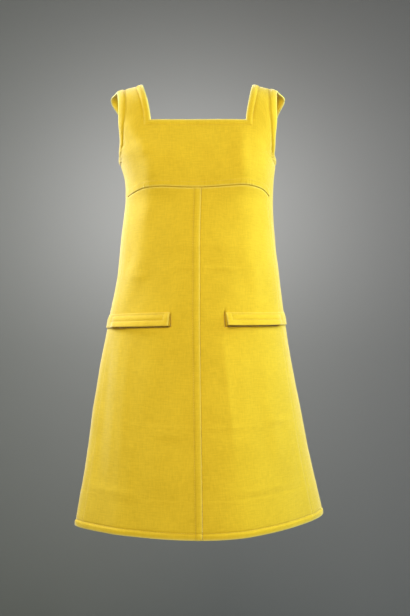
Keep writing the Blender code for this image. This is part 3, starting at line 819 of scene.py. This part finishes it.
def front_bodice():
    marks = [*(YOKE_TOP + place for place in BY_SEAM),
             *(YOKE_TOP + YOKE_STITCH + place for place in BY_STITCH)]
    level, below = upper_rows(marks, 0.0035, NECK_FRONT)
    sides = [np.where(level > UNDERARM, arm_angle(side + "_front", level), side_corner(side, level))
             for side in SIDES]
    strap = (BY_EDGE, BY_EDGE, 8)
    stops = (sides[0], edge_angle("left_neck", level), 0 * level + RIDGE_ANGLE,
             edge_angle("right_neck", level), sides[1])
    angle = across(stops, level, (strap, (BY_MIDDLE, BY_RIDGE, 18), (BY_RIDGE, BY_MIDDLE, 18), strap))
    station = front_station(level[:, None], angle)
    strap_cells = 2 * len(BY_EDGE) + strap[2] - 2
    arm = armhole_distance(form(angle, station))
    neck = neck_distance(angle, station, NECK_FRONT)
    work = Work(angle.shape)
    work.stitch(arm, EDGE_STITCH + STRAP_STITCH[0] * smooth(station, *STRAP_STITCH[1:]),
                depth=1 + smooth(-station, *UNDERARM_DRAW))
    work.stitch(neck, EDGE_STITCH, depth=DRAW_NECK + (1 - DRAW_NECK) * smooth(
        station, NECK_FRONT - EDGE_STITCH, NECK_FRONT + EDGE_STITCH))
    above = station - yoke_station(angle)
    work.seam(above)
    ripple = np.sin(2 * pi * angle * degree(angle, station) / PUCKER_PITCH + 9 * np.sin(angle / 7))
    work.outer += (YOKE_PUFF + PUCKER * ripple) * smooth(-above, -YOKE_PUFF_END, 0.0)
    work.seam(seam_distance(angle, station), np.where(angle < 0, *SIDE_DEPTH.values()))
    work.seam(SHOULDER - station)
    work.end(arm)
    work.end(neck)
    cloth = panel("front_bodice", angle, station, work, np.s_[below - 1:, strap_cells:-strap_cells])


front_bodice()


# ---- Front skirt --------------------------------------------------------------------------------
# Two flared halves of the same wool. The viewer's left one is turned under at the centre front,
# laps over the other and is topstitched along its fold. The hem is turned up and stitched.
LAP_RISE = 0.0011
LAP_SLOPE = 0.004
LAP_END = 0.019          # of its close columns
HEM_STITCH = 0.0120
HEM_DEPTH = 0.065
HEM_RISE = 0.0003
PRESS_MARKS = (-0.353, -0.633)    # levels of creases that run right round
# The skirt is sunk in just below the flaps' lower edges and beside their inner ends, and shade is
# painted into these hollows.
MOUTHS = {
    "left": crease_rows((-46, -457.3, -157, -460.8, 1, -3.6), (-49.9, -432, -49.9, -457.5, 1, -3.4)),
    "right": crease_rows((47.5, -456.6, 152, -456.4, 1.1, -4.2), (47, -430, 49.2, -459, 1.6, -3.6)),
}
MOUTH_FADE = 0.06
MOUTH_PAINTED_SHADE = 1400.0     # how much shade is painted into the cloth, for each metre that it is sunk in
MOUTH_ROWS = np.arange(-0.4645, -0.4535, 0.0007)
MOUTH_ANGLE = {"left": -17.5, "right": 16.3}
BY_MOUTH = (0.0, 0.0008, 0.0016, 0.0026, 0.0040, 0.0060)


def skirt_rows():
    """Levels that need close rows: the hem, the edge of what is turned up, and the marks."""
    return [*(HEM + place for place in turned_edge(HEM_STITCH)),
            *(HEM + HEM_DEPTH + place for place in (-0.003, -0.001, 0.001, 0.003)),
            *(mark + place for mark in PRESS_MARKS for place in (-0.006, -0.003, 0.0, 0.003, 0.006))]


def turn_up(work, hem):
    """Stitches the hem, and lets the edge of what is turned up show through."""
    work.stitch(hem, HEM_STITCH)
    work.outer += HEM_RISE * within(hem, HEM_DEPTH)


def front_skirt(side):
    level = even([*skirt_rows(), *MOUTH_ROWS, *(YOKE_TOP - place for place in BY_SEAM)], 0.0050)
    seam = side_corner(side, level)
    lap = (*BY_EDGE, EDGE_STITCH + LAP_SLOPE, LAP_END)
    if side == "left":
        angle = across((seam, 0 * level + MOUTH_ANGLE[side], 0 * level), level,
                       ((BY_SEAM, BY_MOUTH, 28), (BY_MOUTH, lap, 6)))
    else:
        angle = across((0 * level, 0 * level + MOUTH_ANGLE[side], seam), level,
                       ((BY_SEAM, BY_MOUTH, 10), (BY_MOUTH, BY_SEAM, 30)))
    station = front_station(level[:, None], angle)
    hem = station - HEM
    centre = np.abs(angle) * degree(angle, station)
    work = Work(angle.shape)
    turn_up(work, hem)
    work.seam(yoke_station(angle) - station)
    work.seam(seam_distance(angle, station), SIDE_DEPTH[side])
    sunk = sum(crease_rise(mouth, form(angle, station), MOUTH_FADE) for mouth in MOUTHS[side])
    work.outer += sunk
    work.inner += sunk
    # Painted shade in the sunk hollows under and beside the flaps.
    work.painted_shade = np.maximum(work.painted_shade, -sunk * MOUTH_PAINTED_SHADE)
    if side == "left":
        work.stitch(centre, EDGE_STITCH, 0.0)
        work.outer += LAP_RISE * smooth(-centre, -EDGE_STITCH - LAP_SLOPE, -EDGE_STITCH)
        # Painted highlight along the lap's fold.
        work.end(centre, 0.35)
    else:
        work.seam(centre, pale=0.0)
    work.end(hem)
    cloth = panel("front_skirt_" + side, angle, station, work)


for side in SIDES:
    front_skirt(side)


# ---- Back ---------------------------------------------------------------------------------------
# Each half is cut in one from the shoulder to the hem. The halves are turned under and topstitched
# beside the zip, and sewn together below it.
NECK_BACK = -0.052
ZIP_END = -0.52
ZIP_STITCH = 0.008
SLIT = 0.0029
SLIT_ENDS = (0.016, 0.007)
STRAP_TURN = (-0.40, UNDERARM)
STRAP_SHARE = 0.4        # of the back's width below the strap, where the columns are even
TAPE_CLEAR = (0.014, 0.020)    # from the centre, where the neck's turned edge starts
FAR = 0.1                # metres, out of reach of a stitch or a seam


def slit_angle(side, station):
    """Degrees from the centre back to the edge of a half, which parts round the zip's slider."""
    parted = SLIT * smooth(station, *(SLIDER_STATION - end for end in SLIT_ENDS))
    return np.degrees(parted / column(FORM, FORM_COLUMNS, side, station))


def back(side):
    sign = SIDES[side]
    marks = [*skirt_rows(), *(ZIP_END + place for place in (-0.004, -0.002, 0.0, 0.002, 0.004))]
    level, below = upper_rows(marks, 0.0055, NECK_BACK)
    outside = np.where(level > UNDERARM, arm_angle(side + "_back", level), seam_angle(side, level))
    neck = edge_angle(side + "_neck_back", np.maximum(level, UNDERARM))
    even_neck = outside + (sign * 180 - outside) * STRAP_SHARE
    neck = even_neck + (neck - even_neck) * smooth(level, *STRAP_TURN)
    centre = sign * (180 - slit_angle(side, level))
    by_zip = (*BY_FOLD[:-1], *(ZIP_STITCH + place for place in BY_STITCH[1:]))
    strap = (BY_EDGE, BY_EDGE, 9)
    strap_cells = 2 * len(BY_EDGE) + strap[2] - 2
    if side == "right":
        angle = across((outside, neck, centre), level, (strap, (BY_MIDDLE, by_zip, 19)))
        cut = np.s_[below - 1:, strap_cells:]
    else:
        angle = across((centre, neck, outside), level, ((by_zip, BY_MIDDLE, 19), strap))
        cut = np.s_[below - 1:, :-strap_cells]
    station = np.repeat(level[:, None], angle.shape[1], axis=1)
    arm = armhole_distance(form(angle, station))
    neck = neck_distance(angle, station, NECK_BACK, back=True)
    middle = (180 - np.abs(angle) - slit_angle(side, station)) * degree(angle, station)
    zipped = smooth(station, ZIP_END - 0.001, ZIP_END + 0.001)
    hem = station - HEM
    tape = smooth(middle, *TAPE_CLEAR)
    work = Work(angle.shape)
    turn_up(work, hem)
    work.stitch(arm, EDGE_STITCH, depth=1 + smooth(-station, *UNDERARM_DRAW))
    work.stitch(neck, EDGE_STITCH, TURNED * tape)
    opening, below_zip = middle + FAR * (1 - zipped), middle + FAR * zipped
    work.stitch(opening, ZIP_STITCH, 0.0)
    work.seam(below_zip)
    work.seam(seam_distance(angle, station), SIDE_DEPTH[side])
    work.seam(SHOULDER - station)
    work.end(arm)
    work.end(neck)
    work.end(opening, 0.4)
    work.end(hem)
    cloth = panel("back_" + side, angle, station, work, cut)


for side in SIDES:
    back(side)


# ---- Pocket flaps -------------------------------------------------------------------------------
# A narrow flap of two layers lies over each half of the skirt at the hip. It is sewn on along its
# top, stitched in a long rectangle and caught down past the side, and its lower edge stands off.
FLAP_HEIGHT = 0.0250
FLAP_THICK = 0.0032
FLAP_PRESSED = (0.3, 0.010)     # share of the thickness at the top, and where it is full
FLAP_SIDE = (0.5, 0.80, 1.05)   # share of the thickness lost, towards where it is caught down
FLAP_GAP = 0.0005
FLAP_SPRING = 1.3
FLAP_CAUGHT = (1.0, 0.86)       # shares of its length: where it lies close, and where it stands off
FLAP_END = (0.22, 0.0)          # the same for its inner end
FLAPS = {
    "left": {"inner": -18.1, "caught": -70.0, "outer": -101.0, "inner_top": -0.4322,
             "outer_top": -0.4392, "height": 0.0250, "stand": 0.0030, "end_stand": 0.0014},
    "right": {"inner": 16.5, "caught": 68.0, "outer": 98.0, "inner_top": -0.4322,
              "outer_top": -0.4325, "height": 0.0239, "stand": 0.0034, "end_stand": 0.0058},
}
FLAP_FRAME = (0.0035, 0.0140)   # of the stitched rectangle, below the flap's top
FLAP_FRAME_END = 0.011
FLAP_ROWS = (0, 3, 9, 17, 26, 30, 35, 41, 48, 62, 88, 114, 128, 135, 140, 145, 153, 168, 188, 210,
             228, 239, 245, 248, 250)    # tenths of a millimetre below the flap's top
FLAP_PUFF = 0.0008
FLAP_PUFF_RISE = 0.004   # from the stitches
FLAP_GROOVE = 0.0006


def flap_top(side):
    """Angles along a flap's top, and metres along it from its inner end."""
    at = FLAPS[side]
    turn = np.linspace(at["inner"], at["outer"], 200)
    return turn, walk(form(turn, np.linspace(at["inner_top"], at["outer_top"], 200)))


def flap_place(side, angle):
    turn, place = flap_top(side)
    return np.interp(SIDES[side] * angle, SIDES[side] * turn, place)


def flap_angle(side, place):
    turn, along = flap_top(side)
    return np.interp(place, along, turn)


def flap_station(side, angle, down):
    at = FLAPS[side]
    share = (angle - at["inner"]) / (at["outer"] - at["inner"])
    return at["inner_top"] + (at["outer_top"] - at["inner_top"]) * share - at["height"] * down


def flap(side):
    at = FLAPS[side]
    length = float(flap_place(side, at["outer"]))
    frame_end = float(flap_place(side, at["caught"]))
    frame = [end + place for end in (FLAP_FRAME_END, frame_end) for place in BY_STITCH]
    along = even([*BY_FOLD[:6], *frame, *(length - place for place in BY_FOLD)], 0.004)
    place, down = np.meshgrid(along, np.array(FLAP_ROWS) / 10000)
    angle = flap_angle(side, place)
    station = flap_station(side, angle, down / FLAP_HEIGHT)
    middle = (FLAP_FRAME_END + frame_end) / 2, sum(FLAP_FRAME) / 2
    half = (frame_end - FLAP_FRAME_END) / 2, (FLAP_FRAME[1] - FLAP_FRAME[0]) / 2
    out_x, out_y = np.abs(place - middle[0]) - half[0], np.abs(down - middle[1]) - half[1]
    frame_gap = np.hypot(np.maximum(out_x, 0), np.maximum(out_y, 0)) + np.minimum(
        np.maximum(out_x, out_y), 0)
    groove = np.exp(-(frame_gap / STITCH_SPREAD) ** 2)
    work = Work(angle.shape)
    work.inner[:] = 0.0
    share = (angle - at["inner"]) / (at["caught"] - at["inner"])
    pressed = FLAP_PRESSED[0] + (1 - FLAP_PRESSED[0]) * smooth(down, 0.0, FLAP_PRESSED[1])
    pressed *= 1 - FLAP_SIDE[0] * smooth(share, *FLAP_SIDE[1:])
    work.outer[:] = FLAP_THICK * pressed + FLAP_PUFF * smooth(frame_gap, 0.0, FLAP_PUFF_RISE) * pressed
    work.outer -= FLAP_GROOVE * groove * pressed
    # Painted shade in the groove of the stitched rectangle.
    work.painted_shade = 0.6 * groove
    # Painted highlights along the flap's edges, paler at its inner end.
    for distance in (down, FLAP_HEIGHT - down, length - place):
        work.end(distance, 0.15)
    work.end(place, 0.35)
    off = at["stand"] * smooth(share, *FLAP_CAUGHT) + at["end_stand"] * smooth(share, *FLAP_END)
    off = FLAP_GAP + off * (down / FLAP_HEIGHT) ** FLAP_SPRING
    order = np.s_[::-1, ::-1] if side == "left" else np.s_[::-1]
    cloth = panel("flap_" + side, angle, station, work, off=off, gap=0.0, order=order)


for side in SIDES:
    flap(side)


# ---- Topstitching -------------------------------------------------------------------------------
# Strong thread of the wool's colour, sewn through every turned edge, the yoke, the lap, the hem,
# the flaps and beside the zip.
STITCH = 0.0040
STITCH_GAP = 0.0009
THREAD = 0.00027         # its radius
THREAD_SIDES = 6
# Of one stitch: the share of its length, and its height and thickness as shares of the radius.
THREAD_SHAPE = ((0, -1.2, 0.55), (0.2, 0.25, 1), (0.5, 0.75, 1), (0.8, 0.25, 1), (1, -1.2, 0.55))
THREAD_DEEP = (0.640, 0.400, 0.024, 1)
THREAD_LIGHT = (0.880, 0.640, 0.080, 1)
YOKE_END = (-0.19, 0.3)  # the level of the yoke's last stitches, and degrees from the side seam
FLAP_EDGE_STITCH = 0.0022
SEW_FROM = 0.012         # above the form, where a stitch starts to look for the cloth
SEW_REACH = 0.020
STITCH_CLEAR = 0.001     # that a row of stitches keeps from an edge or a seam across its end
ZIP_CLEAR = 0.6          # degrees that the neck's stitches keep from the zip


def thread_finish():
    finish = Finish("yellow_thread", {"Roughness": 0.6, "Sheen Weight": 0.2})
    place = finish.place()
    twist = finish.speckle(place, 900.0, 2.0)
    shade = finish.speckle(place, 60.0, 1.0)
    share = finish.range(twist * 0.5 + shade * 0.5, 0.35, 0.65)
    finish.cover(finish.mix(share, THREAD_DEEP, THREAD_LIGHT), twist, 0.3, 0.0001)
    return finish


thread = thread_finish()


def stitch_mesh(start, end, up_start, up_end):
    """Points and faces of one stitch between two points on the cloth."""
    along = (end - start).normalized()
    points = []
    for share, height, thick in THREAD_SHAPE:
        up = up_start.lerp(up_end, share).normalized()
        aside = along.cross(up)
        middle = start.lerp(end, share) + up * height * THREAD
        for corner in range(THREAD_SIDES):
            turn = 2 * pi * corner / THREAD_SIDES
            points.append(middle + (aside * cos(turn) + up * sin(turn)) * thick * THREAD)
    faces = [tuple(range(THREAD_SIDES))[::-1]]
    for low in range(0, len(points) - THREAD_SIDES, THREAD_SIDES):
        high = low + THREAD_SIDES
        for corner in range(THREAD_SIDES):
            after = (corner + 1) % THREAD_SIDES
            faces.append((low + corner, low + after, high + after, high + corner))
    faces.append(tuple(range(len(points) - THREAD_SIDES, len(points))))
    return points, faces


def moved_on(faces, first):
    """Faces of points that are numbered from first."""
    return [tuple(first + corner for corner in face) for face in faces]


def sew(name, cloths, lines):
    """Rows of stitches along lines of angles and stations, on the outside of some cloths."""
    meshes = [bpy.data.objects[cloth + "_cloth"].data for cloth in cloths]
    trees = [BVHTree.FromPolygons([spot.co for spot in mesh.vertices],
                                  [face.vertices for face in mesh.polygons]) for mesh in meshes]
    points, faces = [], []
    for angle, station in lines:
        spot, normal = form(angle, station), outward(form, angle, station)
        place = walk(spot)
        count = int(place[-1] / STITCH)
        pitch = place[-1] / count
        for number in range(count):
            ends = []
            for at in (number * pitch + STITCH_GAP / 2, (number + 1) * pitch - STITCH_GAP / 2):
                here = Vector([np.interp(at, place, way) for way in spot.T])
                up = Vector([np.interp(at, place, way) for way in normal.T]).normalized()
                hits = [tree.ray_cast(here + up * SEW_FROM, -up, SEW_REACH) for tree in trees]
                hits = [hit for hit in hits if hit[0] is not None]
                if hits:
                    ends.append((min(hits, key=lambda hit: hit[3])[0], up))
            if len(ends) == 2:
                more, rings = stitch_mesh(ends[0][0], ends[1][0], ends[0][1], ends[1][1])
                faces += moved_on(rings, len(points))
                points += more
    mesh = new_mesh(name, points, faces)
    mesh.shade_smooth()
    return add_piece(name, mesh, thread)


def beside(angle, station, width):
    """A line on the form that runs at some width on the right of another one."""
    metre = degree(angle, station)
    over, climb = np.gradient(angle) * metre, np.gradient(station)
    length = np.hypot(over, climb)
    return angle + width * climb / length / metre, station - width * over / length


def level_line(station, from_angle, to_angle, count=60):
    angle = np.linspace(from_angle, to_angle, count)
    return angle, station + 0 * angle


def neck_line(name, level):
    """The stitching of a square neck down both straps."""
    out = -1 if "back" in name else 1
    station = np.linspace(SHOULDER - STITCH_CLEAR, level - EDGE_STITCH, 60)
    angles = [edge_angle(side + name, station) for side in SIDES]
    return [(angle + sign * out * EDGE_STITCH / degree(angle, station), station)
            for angle, sign in zip(angles, SIDES.values())]


def topstitching():
    backs = ["back_left", "back_right"]
    neck = neck_line("_neck", NECK_FRONT)
    neck.append(level_line(NECK_FRONT - EDGE_STITCH, neck[0][0][-1], neck[1][0][-1]))
    ends = [side_corner(side, YOKE_END[0]) - sign * YOKE_END[1] for side, sign in SIDES.items()]
    angle = np.linspace(*ends, 80)
    sew("stitches_front", ["front_bodice"], [*neck, (angle, yoke_station(angle) + YOKE_STITCH)])
    neck = neck_line("_neck_back", NECK_BACK)
    for (side, sign), (angle, _) in zip(SIDES.items(), neck[:]):
        middle = sign * (180.0 - slit_angle(side, NECK_BACK) - ZIP_CLEAR)
        neck.append(level_line(NECK_BACK - EDGE_STITCH, angle[-1], middle))
    sew("stitches_back_neck", backs, neck)
    for side, sign in SIDES.items():
        angle, station = armhole(side)
        width = EDGE_STITCH + STRAP_STITCH[0] * smooth(station, *STRAP_STITCH[1:]) * (np.abs(angle) < 90)
        sew("stitches_armhole_" + side, ["front_bodice", "back_" + side],
            [beside(angle, station, sign * width)])
    station = np.linspace(HEM + 2 * STITCH_CLEAR, yoke_station(0.0) - STITCH_CLEAR, 90)
    sew("stitches_lap", ["front_skirt_left"], [(-EDGE_STITCH / degree(0.0, station), station)])
    sew("stitches_hem", ["front_skirt_left", "front_skirt_right", *backs],
        [level_line(HEM + HEM_STITCH, 0.5, 360.5, 500)])
    station = np.linspace(NECK_BACK - STITCH_CLEAR, ZIP_END, 90)
    turn = ZIP_STITCH / degree(180.0, station)
    lines = [(sign * (180 - slit_angle(side, station) - turn), station) for side, sign in SIDES.items()]
    lines.append(level_line(ZIP_END, 180 - turn[-1], 180 + turn[-1], 12))
    sew("stitches_zip", backs, lines)
    top, bottom = FLAP_FRAME
    for side, at in FLAPS.items():
        start, end = FLAP_FRAME_END, float(flap_place(side, at["caught"]))
        corners = ((start, top), (end, top), (end, bottom), (start, bottom), (start, top))
        lines = []
        for (place, down), (to_place, to_down) in zip(corners, corners[1:]):
            angle = flap_angle(side, np.linspace(place, to_place, 40))
            down = np.linspace(down, to_down, 40)
            lines.append((angle, flap_station(side, angle, down / FLAP_HEIGHT)))
        outer = flap_place(side, at["outer"]) - 3 * STITCH_CLEAR
        angle = flap_angle(side, np.linspace(end, outer, 20))
        lines.append((angle, flap_station(side, angle, 1 - FLAP_EDGE_STITCH / FLAP_HEIGHT)))
        sew("stitches_flap_" + side, ["flap_" + side], lines)


topstitching()


# ---- Zip ----------------------------------------------------------------------------------------
# Woven tape with metal teeth, sewn in behind the centre back, with a metal slider and pull tab.
TAPE_THICK = 0.00057
TAPE_GAP = 0.0008
TAPE_TOP = NECK_BACK - 0.003
TAPE_DIP = (0.0003, 0.0006)    # how deep and wide its middle is sunk between the teeth
TAPE_RIB = 0.0009
TAPE_TURN = 0.0015       # of the zigzag that its ribs are woven in
TAPE_DEEP = (0.560, 0.370, 0.035, 1)
TAPE_LIGHT = (0.760, 0.540, 0.070, 1)
BY_TAPE = np.array((0.0003, 0.0008, 0.0018, 0.003, 0.005, 0.008, 0.0105, 0.0117, 0.012))
METAL_DARK = (0.560, 0.530, 0.470, 1)
METAL_BRIGHT = (0.700, 0.680, 0.630, 1)
TOOTH = (0.0021, 0.0006, 0.0008)     # across, outwards and along the zip
TOOTH_PITCH = 0.0013
TOOTH_SIDE = 0.0007      # from the centre line, closed
TOOTH_PARTED = 0.0014    # further out, above the slider
TEETH_PART = (-0.004, 0.006)    # below and above the slider's middle, where they part
TEETH_CLEAR = 0.004      # from both ends of the zip


def tape_finish():
    finish = Finish("yellow_tape", {"Roughness": 0.75, "Sheen Weight": 0.15})
    grain, across, along = finish.grain()
    zigzag = finish.node("ShaderNodeMath", {"operation": "PINGPONG"}, {0: across, 1: TAPE_TURN})
    rib = ((along + zigzag) * (2 * pi / TAPE_RIB)).sine()
    fuzz = finish.speckle(grain, 700.0)
    share = finish.range(rib * 0.15 + fuzz, 0.3, 0.7)
    finish.cover(finish.mix(share, TAPE_DEEP, TAPE_LIGHT), rib * 0.5 + fuzz, 0.5, 0.0002)
    return finish


def metal_finish():
    finish = Finish("zip_metal", {"Metallic": 1.0, "Roughness": 0.32})
    place = finish.place()
    wear = finish.speckle(place, 420.0, 3.0)
    brush = finish.speckle(place, 2400.0, 2.0)
    colour = finish.mix(finish.range(wear, 0.35, 0.65), METAL_DARK, METAL_BRIGHT)
    finish.cover(colour, brush, 0.15, 0.00006)
    finish.feed(finish.surface, {"Roughness": 0.22 + 0.25 * wear})
    return finish


tape = tape_finish()
metal = metal_finish()


def zip_tape():
    station = even([ZIP_END, TAPE_TOP], 0.0045)[:, None]
    place = np.concatenate([-BY_TAPE[::-1], [0.0], BY_TAPE])
    angle = 180 + place / degree(180.0, station)
    station = station + 0 * angle
    point = form(angle, station)
    normal = outward(form, angle, station)
    fall = creases(point) - (WALL + TAPE_GAP) - TAPE_DIP[0] * np.exp(-(place / TAPE_DIP[1]) ** 2)
    face = point + normal * fall[..., None]
    cloth = shell("zip_tape_cloth", face, face - normal * TAPE_THICK, {}, tape, "tape")
    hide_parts("zip_tape")


def zip_teeth():
    station = np.arange(ZIP_END + TEETH_CLEAR, NECK_BACK - TEETH_CLEAR, TOOTH_PITCH / 2)
    point = form(180.0 + 0 * station, station)
    out = outward(form, 180.0 + 0 * station, station)
    base = point + out * (creases(point) - WALL - TAPE_GAP + TOOTH[1] / 2)[:, None]
    up = unit(np.gradient(base, axis=0))
    parted = TOOTH_PARTED * smooth(station, *(SLIDER_STATION + place for place in TEETH_PART))
    points, faces = [], []
    box = [(0, 3, 2, 1), (4, 5, 6, 7), (0, 1, 5, 4), (1, 2, 6, 5), (2, 3, 7, 6), (3, 0, 4, 7)]
    for number, middle in enumerate(base):
        side = np.array([-1.0 if number % 2 else 1.0, 0.0, 0.0])
        middle = middle + side * (TOOTH_SIDE + parted[number])
        faces += moved_on(box, len(points))
        for high in (-1, 1):
            for wide, deep in ((-1, -1), (1, -1), (1, 1), (-1, 1)):
                points.append(middle + side * wide * TOOTH[0] / 2 + out[number] * deep * TOOTH[1] / 2
                              + up[number] * high * TOOTH[2] / 2)
    add_piece("zip_teeth", new_mesh("zip_teeth", points, faces), metal)


zip_tape()
zip_teeth()
for name in ("zip_slider", "zip_pull"):
    fitting = frame["nodes"][name]
    fitting.data.materials.clear()
    fitting.data.materials.append(metal.material)
